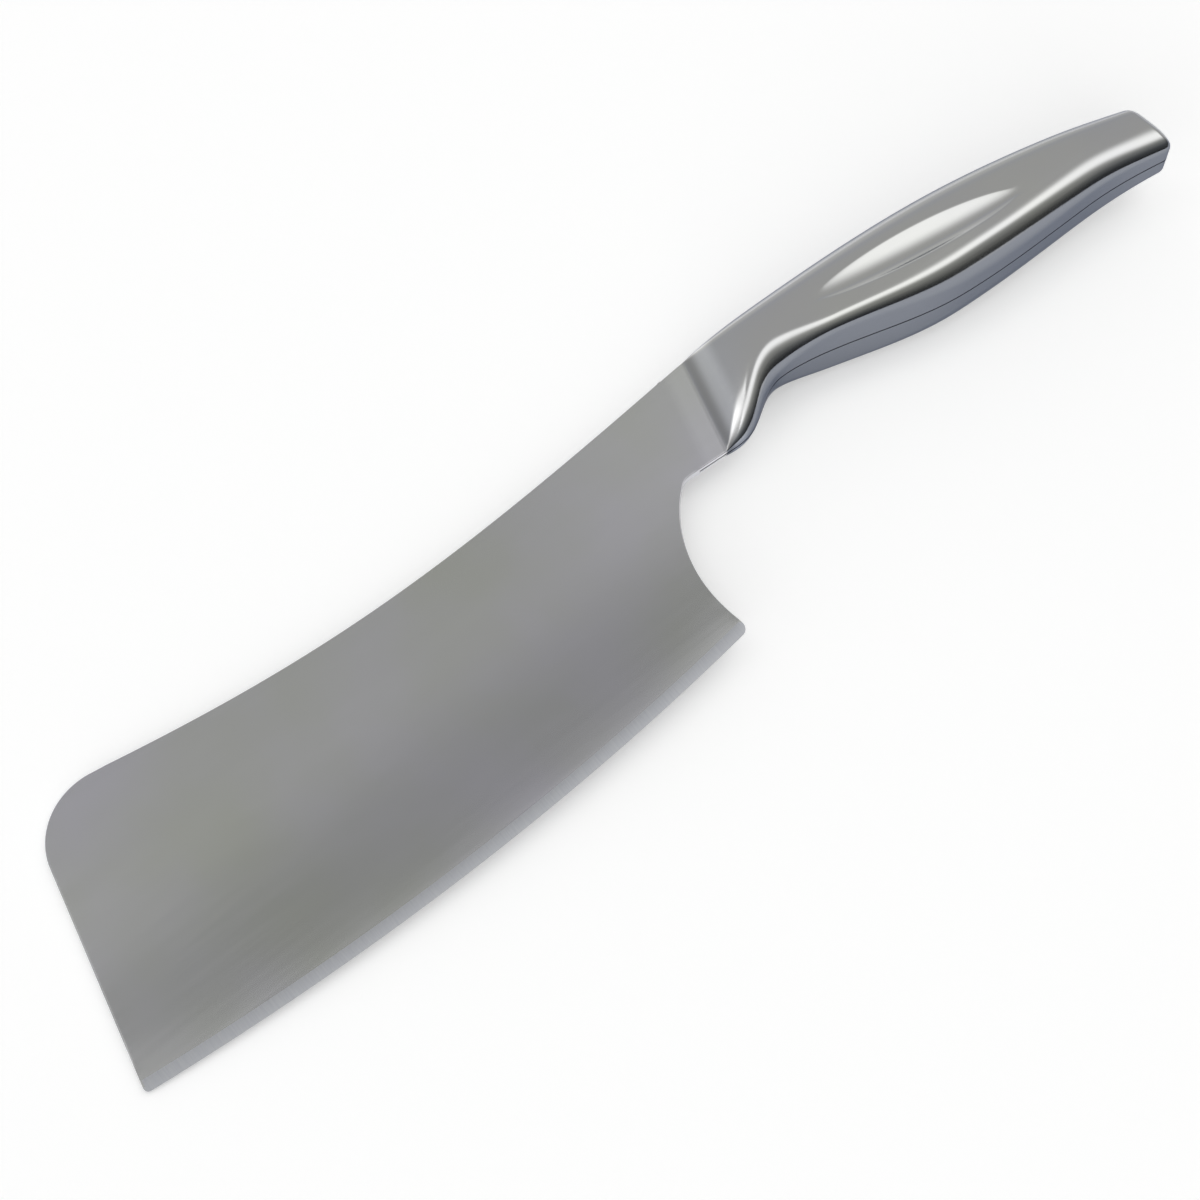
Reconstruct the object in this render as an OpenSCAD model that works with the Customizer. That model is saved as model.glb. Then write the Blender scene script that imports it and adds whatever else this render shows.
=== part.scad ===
// All-steel cleaver, lying on its right side.
// The knife is drawn about its own flat mid-plane: X runs along the cutting edge from the toe to
// the handle, Y runs up to the spine, and Z is across the blade. At the end it is laid on the
// surface that it rests on. Sizes are in millimetres and angles in degrees.

/* [Blade] */
// Straight distance from the toe to the heel of the cutting edge
edge_len = 145.4; // [130:0.1:160]
// How far the cutting edge bellies out below its chord
edge_belly = 4.4; // [2:0.1:8]
// Thickness of the blade steel
blade_t = 2; // [1.6:0.1:2.6]
// Lean of the straight front edge, from square to the cutting edge
front_lean = 13; // [6:0.2:18]
// Height of the nose corner before it is rounded
nose_h = 60.8; // [56:0.5:68]
// Radius of the nose corner
nose_r = 14.9; // [6:0.5:17]
// Height that the hollow of the spine is drawn towards
spine_low = 48.7; // [44:0.1:51]
// Reach of the spine's curve back from the nose
spine_pull_front = 58.1; // [40:1:65]
// Reach of the spine's curve forward from the handle
spine_pull_back = 74.9; // [60:1:85]
// Radius of the toe
toe_r = 1; // [0.5:0.1:2]
// Radius of the heel
heel_r = 1.8; // [0.5:0.1:2.5]

/* [Grind] */
// Width of the long, shallow grind above the edge
grind_w = 10; // [6:0.5:16]
// Width of the sharpened bevel
bevel_w = 2.4; // [1.5:0.1:4]
// Thickness of the steel where the bevel starts
shoulder_t = 1; // [0.8:0.1:1.4]
// Thickness left along the cutting edge
edge_t = 0.2; // [0.1:0.05:0.3]

/* [Neck] */
// Radius of the hollow behind the heel
choil_r = 31.4; // [30:0.5:40]
// Height at which that hollow is deepest
choil_mid = 8.1; // [4:0.5:12]
// Radius between the hollow and the underside of the neck
choil_blend_r = 4.2; // [1:0.5:6]
// Height of the neck's underside above the cutting edge's chord
neck_y = 33.3; // [31:0.1:36]
// Height of the neck itself at the crease
neck_h = 22.7; // [20:0.1:24]
// Fall of the neck's underside towards the handle
neck_fall = 3.1; // [0:0.5:6]
// Distance from the heel to the crease where the handle starts, along the underside
neck_back = 23.5; // [21:0.5:30]
// Lean of the crease, from square to the cutting edge
crease_lean = 18.7; // [10:0.5:25]
// Length of the flat neck from the welded joint to the crease
neck_flat = 7.5; // [5:0.5:9]

/* [Tang] */
// Length of the tang behind the welded joint
tang_len = 26; // [16:1:34]
// Height of the tang
tang_h = 9.5; // [7:0.5:11]
// Thickness of the tang
tang_t = 1; // [0.8:0.1:1.2]
// Height of the tang's centre line above the neck's underside
tang_y = 13.5; // [12:0.5:15]
// Room between the tang and the shells
tang_fit = 0.05; // [0.02:0.01:0.1]

/* [Handle] */
// Length of the handle from the crease to the butt
handle_len = 123.6; // [110:0.1:135]
// Distance from the crease to the belly corner of the flare
corner_at = 4.2; // [4:0.5:7]
// Distance from the crease to the finger recess
recess_at = 20.7; // [18:0.5:26]
// Height of the handle at the finger recess
recess_h = 15; // [13:0.1:17]
// Thickness of the handle at the finger recess
recess_t = 16.2; // [13:0.1:18]
// Distance from the crease to the palm swell
palm_at = 63.2; // [56:1:70]
// Height of the handle at the palm swell
palm_h = 22.1; // [19:0.1:25]
// Thickness of the handle at the palm swell
palm_t = 20.9; // [17:0.1:23]
// Distance from the crease to the waist in front of the butt
waist_at = 100.5; // [94:1:106]
// Height of the handle at the waist
waist_h = 17; // [14:0.1:19]
// Thickness of the handle at the waist
waist_t = 18.1; // [14:0.1:19]
// Height of the butt
butt_h = 13.9; // [11:0.1:16]
// Thickness of the handle at the butt
butt_t = 12.9; // [12:0.1:17]
// Drop of the back from the crease to the palm swell
back_drop_palm = 3.3; // [1:0.1:5]
// Drop of the back from the crease to the waist
back_drop_waist = 9.2; // [6:0.1:11]
// Drop of the back from the crease to the butt
back_drop_butt = 14.9; // [11:0.1:17]
// Lean of the butt, from square to the cutting edge
butt_lean = -2; // [-6:0.5:18]
// Radius of the butt's rim
butt_r = 2.4; // [1.4:0.1:3]
// Slope of the flare just behind the crease
flare_slope = 38.2; // [25:1:45]

/* [Shell] */
// Thickness of the pressed sheet
sheet_t = 0.9; // [0.6:0.05:1]
// Breadth of the rounding at the edges of the grip
round_w = 5.5; // [4:0.1:7]
// Depth of the rounding at the edges of the grip
round_d = 5.6; // [3.5:0.1:6]
// Fall of the crowned side from its middle to its edges
crown = 0.5; // [0:0.05:0.8]

/* [Dimple] */
// Distance from the crease to the middle of the pressed dimple
dimple_at = 58; // [54:0.5:62]
// Distance of the dimple's middle above the middle of the handle
dimple_up = 0; // [-1:0.1:1]
// Length of the dimple
dimple_len = 54; // [40:1:60]
// Width of the dimple
dimple_w = 8; // [6:0.1:9]
// Depth of the dimple
dimple_d = 1.1; // [0.6:0.05:1.6]
// Slope of the dimple down towards the butt
dimple_tilt = 8.5; // [5:0.5:14]

/* [Welds] */
// Width of the weld between the two shells
seam_w = 0.4; // [0.3:0.05:0.6]
// Depth of the groove left outside that weld
seam_groove = 0.2; // [0.1:0.05:0.4]
// Width of the weld between the blade and the shells
joint_w = 0.8; // [0.5:0.1:1.2]

/* [Hidden] */
$fn = 360;

// Steps along each curve of the outlines
edge_steps = 24;
spine_steps = 26;
choil_steps = 14;
blend_steps = 8;

// Rings of the shells: spacing in the flare and along the grip, and steps round the butt's rim
flare_step = 1.4;
grip_step = 3.7;
rim_steps = 4;

// Columns of the shells, from the belly seam over the side to the back seam
wall_cols = 2;
round_cols = 7;
flank_cols = 2;
dimple_cols = 6;
column_gap = 0.01;

// Shape of the rounded edges: 2 would be an ellipse
round_power = 2.2;
// Least rounding, at the crease and on the inside
least_round = 0.3;
// Half width of the band that stands in for the dimple where there is none
dimple_band = 0.8;
// Distance over which that band runs back to the middle of the handle, beyond the dimple's ends
dimple_fade = 8;
// How far the tang is drawn into the blade
tang_root = 2;
// Margin round the tang over which the sheet is pressed thin
tang_margin = 2.6;
// How far the lines of the handle are eased, so that one bend runs into the next
ease = 3;
// Least distance from a rounded corner to the next point of the outline
corner_gap = 0.2;
// Least radius that the seam's bead turns the butt's corners with
least_turn = 0.1;

// Slopes of the handle's lines: its back, its height and its thickness
back_slope_crease = 0.05;
back_slope_palm = 0.1;
back_slope_waist = 0.21;
back_slope_butt = 0.3;
height_slope_waist = -0.21;
height_slope_butt = -0.11;
thick_slope_recess = 0.22;
thick_slope_waist = -0.12;
thick_slope_butt = -0.09;

// Plane geometry

function unit(v) = v / norm(v);
function heading(angle) = [cos(angle), sin(angle)];
function spin(v, angle) =
    [v.x * cos(angle) - v.y * sin(angle), v.x * sin(angle) + v.y * cos(angle)];
function turn(u, v) = atan2(u.x * v.y - u.y * v.x, u.x * v.x + u.y * v.y);

// Points that round a corner between the heading u into it and the heading v out of it
function rounded(corner, u, v, r) =
    let (
        bend = turn(u, v),
        start = corner - u * r * tan(abs(bend) / 2),
        centre = start + sign(bend) * r * [-u.y, u.x]
    )
    [for (i = [0:blend_steps]) centre + spin(start - centre, bend * i / blend_steps)];

// Points on an arc about a centre, between two directions
function arc(centre, r, from, to, steps) =
    [for (i = [0:steps]) centre + r * heading(from + (to - from) * i / steps)];

function bezier(a, b, c, d, t) =
    pow(1 - t, 3) * a + 3 * t * pow(1 - t, 2) * b + 3 * t * t * (1 - t) * c + pow(t, 3) * d;

// A smooth line through keys of [position, value, slope]
function span(p, q, x) =
    let (
        width = q[0] - p[0],
        t = (x - p[0]) / width
    )
    (1 + 2 * t) * pow(1 - t, 2) * p[1] + t * pow(1 - t, 2) * width * p[2]
    + t * t * (3 - 2 * t) * q[1] - t * t * (1 - t) * width * q[2];
function through(keys, x, i = 0) =
    i >= len(keys) - 2 || x <= keys[i + 1][0] ? span(keys[i], keys[i + 1], x) : through(keys, x, i + 1);

// The blade's outline

edge_r = (pow(edge_len / 2, 2) + pow(edge_belly, 2)) / (2 * edge_belly);
edge_centre = [edge_len / 2, edge_r - edge_belly];
edge_half = asin(edge_len / 2 / edge_r);
front_dir = heading(90 - front_lean);

toe = [0, 0];
heel = [edge_len, 0];
nose = front_dir * nose_h / front_dir.y;

crease_low = [edge_len + neck_back, neck_y];
crease_top = crease_low + neck_h * [tan(crease_lean), 1];
spine_ctrl_back = [crease_top.x - spine_pull_back, spine_low];
spine_ctrl_front = [nose.x + spine_pull_front, spine_low];
spine_rise = (crease_top.y - spine_low) / spine_pull_back;

choil_centre = heel + [sqrt(choil_r * choil_r - choil_mid * choil_mid), choil_mid];
choil_from = 180 + asin(choil_mid / choil_r);
neck_square = [sin(neck_fall), cos(neck_fall)];
choil_to = 180 - neck_fall - asin(neck_square * (crease_low - choil_centre) / choil_r);
choil_end = choil_centre + choil_r * heading(choil_to);

// A point on the flat neck, measured back from the crease: its underside, and its top
function neck_low(a) = crease_low + [a, -a * tan(neck_fall)];
function neck_top(a) = crease_top + [a, a * spine_rise];
blade_end = -neck_flat - joint_w / 2;
shell_start = -neck_flat + joint_w / 2;

spine = [for (i = [0:spine_steps])
    bezier(nose, spine_ctrl_front, spine_ctrl_back, neck_top(blade_end), i / spine_steps)];
nose_in = unit(spine[0] - spine[1]);

// How much of a curve's end the rounding of its corner takes away
function trimmed(points, corner, reach) = [for (p = points) if (norm(p - corner) > reach) p];
function reach(u, v, r) = r * tan(abs(turn(u, v)) / 2) + corner_gap;

toe_in = -front_dir;
toe_out = heading(-edge_half);
heel_in = heading(edge_half);
heel_out = heading(choil_from - 90);
blend_in = heading(choil_to - 90);
blend_out = heading(-neck_fall);

edge_line = trimmed(
    trimmed(arc(edge_centre, edge_r, -90 - edge_half, -90 + edge_half, edge_steps),
        toe, reach(toe_in, toe_out, toe_r)),
    heel, reach(heel_in, heel_out, heel_r));
choil_line = trimmed(
    trimmed(arc(choil_centre, choil_r, choil_from, choil_to, choil_steps),
        heel, reach(heel_in, heel_out, heel_r)),
    choil_end, reach(blend_in, blend_out, choil_blend_r));
spine_line = trimmed(spine, nose, reach(nose_in, -front_dir, nose_r));

blade_outline = concat(
    rounded(toe, toe_in, toe_out, toe_r),
    edge_line,
    rounded(heel, heel_in, heel_out, heel_r),
    choil_line,
    rounded(choil_end, blend_in, blend_out, choil_blend_r),
    [neck_low(blade_end)],
    [for (i = [len(spine_line) - 1:-1:0]) spine_line[i]],
    rounded(nose, nose_in, -front_dir, nose_r));

// The tang, from inside the blade to its rounded end
tang_low = neck_y + tang_y - tang_h / 2;
tang_start = neck_low(blade_end).x;
tang_end = tang_start + tang_len;
tang_end_r = tang_h / 4;

// The handle's lines, at a distance a behind the crease

back_keys = [
    [0, 0, back_slope_crease],
    [palm_at, back_drop_palm, back_slope_palm],
    [waist_at, back_drop_waist, back_slope_waist],
    [handle_len, back_drop_butt, back_slope_butt]];
// Up to the corner of the flare the underside runs on as straight as on the neck
corner_slope = tan(neck_fall) - back_slope_crease;
height_keys = [
    [0, neck_h, corner_slope],
    [corner_at, neck_h + corner_at * corner_slope, corner_slope],
    [recess_at, recess_h, 0],
    [palm_at, palm_h, 0],
    [waist_at, waist_h, height_slope_waist],
    [handle_len, butt_h, height_slope_butt]];
thick_keys = [
    [0, blade_t, 2 * tan(flare_slope)],
    [recess_at, recess_t, thick_slope_recess],
    [palm_at, palm_t, 0],
    [waist_at, waist_t, thick_slope_waist],
    [handle_len, butt_t, thick_slope_butt]];

butt_run = butt_h * tan(butt_lean);
crease_run = neck_h * tan(crease_lean);
// Along the belly the handle is longer than along its middle by what its two ends lean
low_len = handle_len + (crease_run - butt_run) / 2;
top_len = handle_len - (crease_run - butt_run) / 2;

function top_point(a) =
    a <= 0 ? neck_top(a)
    : crease_top + [a * top_len / handle_len, -through(back_keys, a)];
function low_point(a) =
    a <= 0 ? neck_low(a)
    : [crease_low.x + a * low_len / handle_len, top_point(a).y - through(height_keys, a)];
function eased(a, top) =
    let (
        slack = min(ease, handle_len - a),
        points = [for (k = [-2:2]) top ? top_point(a + slack * k / 2) : low_point(a + slack * k / 2)]
    )
    (points[0] + 2 * points[1] + 3 * points[2] + 2 * points[3] + points[4]) / 9;
function half_thick(a) = a <= 0 ? blade_t / 2 : through(thick_keys, a) / 2;

// One ring of the handle is a plane across it. Its frame holds the middle of the ring, the
// direction from the belly to the back, and the half height.
function ring_frame(a) =
    let (
        low = eased(a, false),
        top = eased(a, true)
    )
    [(low + top) / 2, unit(top - low), norm(top - low) / 2];

// The dimple runs straight, so its place across the handle changes from ring to ring
dimple_frame = ring_frame(dimple_at);
dimple_centre = dimple_frame[0] + dimple_up * dimple_frame[1];
dimple_slope = -tan(dimple_tilt);

function dimple_place(frame) =
    (dimple_centre.y + dimple_slope * (frame[0].x - dimple_centre.x) - frame[0].y)
    / (frame[1].y - dimple_slope * frame[1].x);
function dimple_share(frame) =
    let (
        along = (frame[0].x + dimple_place(frame) * frame[1].x - dimple_centre.x)
            / (cos(dimple_tilt) * dimple_len / 2)
    )
    max(0, 1 - along * along);

// Across the handle: the place v from the middle and the height z, for one column
side_cols = wall_cols + round_cols;
top_cols = 2 * flank_cols + dimple_cols;
last_col = 2 * side_cols + top_cols;

// The belly half of a section without its dimple
function edge_column(half, thick, rw, rd, fall, k) =
    k <= wall_cols
    ? [-half + k * column_gap, seam_w / 2 + max(0, thick - rd - fall - seam_w / 2) * k / wall_cols]
    : let (
        angle = 90 * (k - wall_cols) / round_cols,
        v = -half + wall_cols * column_gap + rw * (1 - pow(cos(angle), 2 / round_power)),
        z = thick - rd + rd * pow(sin(angle), 2 / round_power)
    )
    [v, z - fall * pow(v / half, 2)];

function top_column(half, thick, rw, fall, place, band, share, k) =
    let (
        flank = half - rw - wall_cols * column_gap,
        v = k < flank_cols ? -flank + (place - band + flank) * k / flank_cols
            : k > flank_cols + dimple_cols ? flank + (place + band - flank) * (top_cols - k) / flank_cols
            : place + band * (2 * (k - flank_cols) / dimple_cols - 1),
        across = (v - place) / band
    )
    [v, thick - fall * pow(v / half, 2) - dimple_d * share * max(0, 1 - across * across)];

// A section at distance a, drawn in by inset all round
function section(a, inset, frame, col) =
    let (
        thick = max(half_thick(a) - inset, seam_w / 2),
        half = frame[2] - inset,
        body = max(0, (half_thick(a) - blade_t / 2) / (palm_t / 2 - blade_t / 2)),
        rw = max(least_round + (round_w - least_round) * body - inset, least_round),
        rd = min(max(least_round + (round_d - least_round) * body - inset, least_round), thick),
        fall = crown * body,
        share = dimple_share(frame),
        band = max(dimple_band, dimple_w / 2 * share),
        place = share > 0 ? dimple_place(frame) : dimple_rest(frame)
    )
    col <= side_cols ? edge_column(half, thick, rw, rd, fall, col)
    : col < side_cols + top_cols
    ? top_column(half, thick, rw, fall, place, band, share, col - side_cols)
    : let (mirrored = edge_column(half, thick, rw, rd, fall, last_col - col))
    [-mirrored[0], mirrored[1]];

// Away from the dimple its columns run back to the middle of the handle
function dimple_rest(frame) =
    let (
        beyond = abs(frame[0].x - dimple_centre.x) - dimple_len / 2,
        place = dimple_place(frame)
    )
    place * exp(-max(0, beyond) / dimple_fade);

// Is this place across the flat neck over the tang?
function over_tang(frame, v) =
    abs(frame[0].y + v * frame[1].y - neck_y - tang_y) < tang_h / 2 + tang_margin
    && frame[0].x + v * frame[1].x < tang_end + tang_margin;

// Rings as [distance, distance inside, inset]: the outer skin, and the sheet's inside skin
flare_rings = ceil((recess_at + 4) / flare_step);
flare_end = recess_at + 4;
grip_end = handle_len - butt_r;
grip_rings = ceil((grip_end - flare_end) / grip_step);
rings = concat(
    [[shell_start, shell_start, 0], [shell_start / 2, shell_start / 2, 0]],
    [for (i = [0:flare_rings - 1]) let (a = flare_end * i / flare_rings) [a, a, 0]],
    [for (i = [0:grip_rings]) let (a = flare_end + (grip_end - flare_end) * i / grip_rings) [a, a, 0]],
    [for (i = [1:rim_steps])
        let (
            angle = 90 * i / rim_steps,
            a = grip_end + butt_r * sin(angle)
        )
        [a, a - sheet_t * sin(angle), butt_r * (1 - cos(angle))]]);
// On the rim the inside skin turns about the same centre as the outside
function inside_inset(ring) =
    ring[2] == 0 ? sheet_t : sheet_t + (butt_r - sheet_t) * ring[2] / butt_r;

function skin_point(a, inset, frame, col) =
    let (
        s = section(a, inset, frame, col),
        p = frame[0] + s[0] * frame[1]
    )
    [p.x, p.y, s[1]];
function outer_ring(ring) =
    let (frame = ring_frame(ring[0]))
    [for (col = [0:last_col]) skin_point(ring[0], ring[2], frame, col)];
function inner_ring(ring) =
    let (frame = ring_frame(ring[1]))
    [for (col = [0:last_col])
        let (
            p = skin_point(ring[1], inside_inset(ring), frame, col),
            v = (p.y - frame[0].y) / frame[1].y,
            floor_z = over_tang(frame, v) ? tang_t / 2 + tang_fit : seam_w / 2
        )
        [p.x, p.y, max(p.z, floor_z)]];

outer_rings = [for (ring = rings) outer_ring(ring)];
inner_rings = [for (ring = rings) inner_ring(ring)];

// Laying the knife down: it rests on its front edge and on the side of the handle

function front_distance(p) = p.x * cos(front_lean) - p.y * sin(front_lean);
rest_tilt = max([for (r = outer_rings) for (p = r)
    atan2(p.z - blade_t / 2, front_distance(p))]);
function laid(p) =
    let (
        d = front_distance(p),
        across = [cos(front_lean), -sin(front_lean)],
        run = d * cos(rest_tilt) - p.z * sin(rest_tilt),
        flat = [p.x, p.y] + (run - d) * across
    )
    [flat.x, flat.y, p.z * cos(rest_tilt) + d * sin(rest_tilt) + blade_t / 2 * cos(rest_tilt)];
laid_points = concat(
    [for (p = blade_outline) laid([p.x, p.y, 0])],
    [for (r = outer_rings) for (p = r) laid(p)],
    [for (r = outer_rings) for (p = r) laid([p.x, p.y, -p.z])]);
laid_x = [for (p = laid_points) p.x];
laid_y = [for (p = laid_points) p.y];
laid_middle = [(min(laid_x) + max(laid_x)) / 2, (min(laid_y) + max(laid_y)) / 2];

module at_rest() {
    translate([-laid_middle.x, -laid_middle.y, blade_t / 2 * cos(rest_tilt)])
        rotate(a = -rest_tilt, v = [front_dir.x, front_dir.y, 0])
            children();
}

// Sub-parts

// What the grinding takes off one side of the blade: two cones about the edge's centre
module grinding() {
    grind_slope = (blade_t - shoulder_t) / 2 / (grind_w - bevel_w);
    bevel_slope = (shoulder_t - edge_t) / 2 / bevel_w;
    over = 0.5;
    past_edge = edge_t / 4 / bevel_slope;
    translate([edge_centre.x, edge_centre.y, 0])
        rotate_extrude()
            polygon([
                [edge_r - grind_w - over / grind_slope, blade_t / 2 + over],
                [edge_r - bevel_w, shoulder_t / 2],
                [edge_r + past_edge, edge_t / 4],
                [edge_r + past_edge, blade_t / 2 + over]]);
}

module tang_shape(room = 0) {
    translate([tang_start - tang_root, tang_low - room])
        square([tang_len + tang_root - tang_end_r, tang_h + 2 * room]);
    translate([tang_start, tang_low + tang_end_r])
        square([tang_len + room, tang_h - 2 * tang_end_r]);
    for (y = [tang_low + tang_end_r, tang_low + tang_h - tang_end_r])
        translate([tang_end - tang_end_r, y])
            circle(r = tang_end_r + room);
}

module blade() {
    color("#9a9c9e")
        at_rest() {
            difference() {
                linear_extrude(blade_t, center = true)
                    polygon(blade_outline);
                grinding();
                mirror([0, 0, 1])
                    grinding();
            }
            linear_extrude(tang_t, center = true)
                tang_shape();
        }
}

// Half of the hollow handle: an outer skin, an inside skin, and the rims that join them
module handle_shell() {
    n = len(rings);
    m = last_col + 1;
    points = concat(
        [for (r = outer_rings) for (p = r) p],
        [for (r = inner_rings) for (p = r) p]);
    function outer_at(i, j) = i * m + j;
    function inner_at(i, j) = n * m + i * m + j;
    function quad(a, b, c, d) = [[a, b, c], [a, c, d]];
    skins = [for (i = [0:n - 2]) for (j = [0:m - 2]) for (f = concat(
        quad(outer_at(i, j), outer_at(i, j + 1), outer_at(i + 1, j + 1), outer_at(i + 1, j)),
        quad(inner_at(i, j), inner_at(i + 1, j), inner_at(i + 1, j + 1), inner_at(i, j + 1)))) f];
    rims = [for (i = [0:n - 2]) for (f = concat(
        quad(outer_at(i, 0), outer_at(i + 1, 0), inner_at(i + 1, 0), inner_at(i, 0)),
        quad(outer_at(i, m - 1), inner_at(i, m - 1), inner_at(i + 1, m - 1), outer_at(i + 1, m - 1)))) f];
    mouth = [for (j = [0:m - 2]) for (f =
        quad(outer_at(0, j), inner_at(0, j), inner_at(0, j + 1), outer_at(0, j + 1))) f];
    // The butt's two flat walls are closed by strips between opposite columns
    half = floor((m - 1) / 2);
    butt = [for (j = [0:half - 1]) for (f = concat(
        quad(outer_at(n - 1, j), outer_at(n - 1, j + 1), outer_at(n - 1, m - 2 - j), outer_at(n - 1, m - 1 - j)),
        quad(inner_at(n - 1, j), inner_at(n - 1, m - 1 - j), inner_at(n - 1, m - 2 - j), inner_at(n - 1, j + 1))))
        if (f[0] != f[1] && f[1] != f[2] && f[0] != f[2]) f];
    butt_rim = quad(outer_at(n - 1, 0), outer_at(n - 1, m - 1), inner_at(n - 1, m - 1), inner_at(n - 1, 0));
    polyhedron(points, concat(skins, rims, mouth, butt, butt_rim));
}

module left_handle_shell() {
    color("#b4b5b8")
        at_rest()
            handle_shell();
}

module right_handle_shell() {
    color("#a8a9ac")
        at_rest()
            mirror([0, 0, 1])
                handle_shell();
}

// The flat bead that fills the joint between the two shells, all the way round
function seam_side(inset, top) =
    [for (ring = rings) if (ring[2] == 0)
        let (frame = ring_frame(ring[0]))
        frame[0] + (top ? 1 : -1) * (frame[2] - inset) * frame[1]];
function reversed(points) = [for (i = [len(points) - 1:-1:0]) points[i]];
function seam_path(inset) = concat(
    seam_side(inset, false), seam_end(inset), reversed(seam_side(inset, true)));
// Round the butt the bead follows the rim, low corner first
function seam_end(inset) =
    let (
        r = max(butt_r - inset, least_turn),
        corner = function (side) [for (i = [1:rim_steps])
            let (
                angle = 90 * i / rim_steps,
                frame = ring_frame(grip_end + r * sin(angle))
            )
            frame[0] + side * (frame[2] - butt_r + r * cos(angle)) * frame[1]]
    )
    concat(corner(-1), reversed(corner(1)));

module handle_seam_weld() {
    color("#6f7072")
        at_rest()
            linear_extrude(seam_w, center = true)
                polygon(concat(seam_path(seam_groove), reversed(seam_path(sheet_t))));
}

// The bead across the neck, with the tang running through it
module neck_weld() {
    color("#a2a3a6")
        at_rest()
            difference() {
                linear_extrude(blade_t, center = true)
                    polygon([
                        neck_low(blade_end), neck_low(shell_start),
                        neck_top(shell_start), neck_top(blade_end)]);
                linear_extrude(tang_t + 2 * tang_fit, center = true)
                    tang_shape(tang_fit);
            }
}

blade();
left_handle_shell();
right_handle_shell();
handle_seam_weld();
neck_weld();
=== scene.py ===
"""Looks of an all-steel Chinese cleaver that lies on its right side.

The knife is worked out about its own flat mid-plane, in millimetres, with the same sizes as the
CAD part: x runs along the cutting edge from the toe to the handle, y up to the spine and z across
the blade. The rounding along the belly and the dimple's profile are the scene's own, closer to the
photo than the CAD part's. placed() then lays each mesh where the CAD part lies, in metres.
"""

import math

import bpy
import numpy as np
from mathutils import Matrix, Vector
from mathutils.geometry import delaunay_2d_cdt


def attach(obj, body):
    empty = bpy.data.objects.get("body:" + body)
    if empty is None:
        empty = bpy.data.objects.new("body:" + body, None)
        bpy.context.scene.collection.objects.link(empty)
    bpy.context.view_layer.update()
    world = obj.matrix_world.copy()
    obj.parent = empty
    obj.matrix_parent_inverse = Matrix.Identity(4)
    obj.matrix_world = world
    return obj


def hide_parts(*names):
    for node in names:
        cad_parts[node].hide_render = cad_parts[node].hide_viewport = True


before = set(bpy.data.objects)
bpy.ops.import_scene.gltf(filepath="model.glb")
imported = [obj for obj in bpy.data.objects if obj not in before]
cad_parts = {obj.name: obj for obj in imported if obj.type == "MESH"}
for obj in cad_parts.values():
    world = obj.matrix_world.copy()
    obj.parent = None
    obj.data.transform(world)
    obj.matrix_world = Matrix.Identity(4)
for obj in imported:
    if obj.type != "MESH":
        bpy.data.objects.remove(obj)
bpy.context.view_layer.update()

# Sizes of the knife, in millimetres and degrees

EDGE_LEN, EDGE_BELLY, BLADE_T = 145.4, 4.4, 2.0
FRONT_LEAN, NOSE_H, NOSE_R = 13.0, 60.8, 14.9
SPINE_LOW, SPINE_PULL_FRONT, SPINE_PULL_BACK = 48.7, 58.1, 74.9
TOE_R, HEEL_R = 1.0, 1.8
GRIND_W, BEVEL_W, SHOULDER_T, EDGE_T = 10.0, 2.4, 1.0, 0.2
CHOIL_R, CHOIL_MID, CHOIL_BLEND_R = 31.4, 8.1, 4.2
NECK_Y, NECK_H, NECK_FALL, NECK_BACK, NECK_FLAT = 33.3, 22.7, 3.1, 23.5, 7.5
CREASE_LEAN = 18.7
TANG_LEN, TANG_H, TANG_T, TANG_Y = 26.0, 9.5, 1.0, 13.5
HANDLE_LEN, CORNER_AT = 123.6, 4.2
RECESS_AT, RECESS_H, RECESS_T = 20.7, 15.0, 16.2
PALM_AT, PALM_H, PALM_T = 63.2, 22.1, 20.9
WAIST_AT, WAIST_H, WAIST_T = 100.5, 17.0, 18.1
BUTT_H, BUTT_T, BUTT_LEAN, BUTT_R = 13.9, 12.9, -2.0, 2.4
DROP_PALM, DROP_WAIST, DROP_BUTT = 3.3, 9.2, 14.9
FLARE_SLOPE = 38.2
SHEET_T, ROUND_W, ROUND_D, CROWN = 0.9, 5.5, 5.6, 0.5
FLARE_ROUND_AT, FLARE_ROUND_W, FLARE_ROUND_D = 12.4, 8.9, 6.7
GRIP_ROUND_AT, GRIP_ROUND_W, GRIP_ROUND_D = 34.0, 3.6, 2.8
PALM_ROUND_AT, PALM_ROUND_W, PALM_ROUND_D = 72.4, 5.2, 6.1
BUTT_ROUND_W, BUTT_ROUND_D = 6.6, 3.0
LEAST_ROUND = 0.3
DIMPLE_AT, DIMPLE_UP, DIMPLE_LEN, DIMPLE_W, DIMPLE_D, DIMPLE_TILT = 58.0, 0.0, 54.0, 8.0, 1.1, 8.5
# Where the dimple is deepest across its half width, its least half width, how full its ends are,
# how soft its rim is, and how fast its line comes back to the middle of the handle beyond it
DIMPLE_DEEPEST, DIMPLE_BAND, DIMPLE_FULLNESS, DIMPLE_RIM, DIMPLE_RUN_OUT = -0.35, 1.2, 0.6, 1.25, 8.0
SEAM_W, JOINT_W = 0.4, 0.8

# Slopes of the handle's back at the crease, the palm swell, the waist and the butt, and of its
# height, its thickness and the rounding of its belly where they aren't level
BACK_SLOPES = 0.05, 0.1, 0.21, 0.3
WAIST_HEIGHT_SLOPE, BUTT_HEIGHT_SLOPE = -0.21, -0.11
RECESS_THICK_SLOPE, WAIST_THICK_SLOPE, BUTT_THICK_SLOPE = 0.22, -0.12, -0.09
BELLY_W_SLOPE, BELLY_D_SLOPE = 1.85, 0.45

# Small roundings that the ground and polished edges have, with the flat rim beside them, the
# length over which the handle's lines are evened out, and the power of the shells' rounding
EDGE_SOFT, RIM_SHARE = 0.22, 1.7
CREASE_SOFT = 0.5
EASE = 3.0
ROUND_POWER = 2.2

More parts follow.
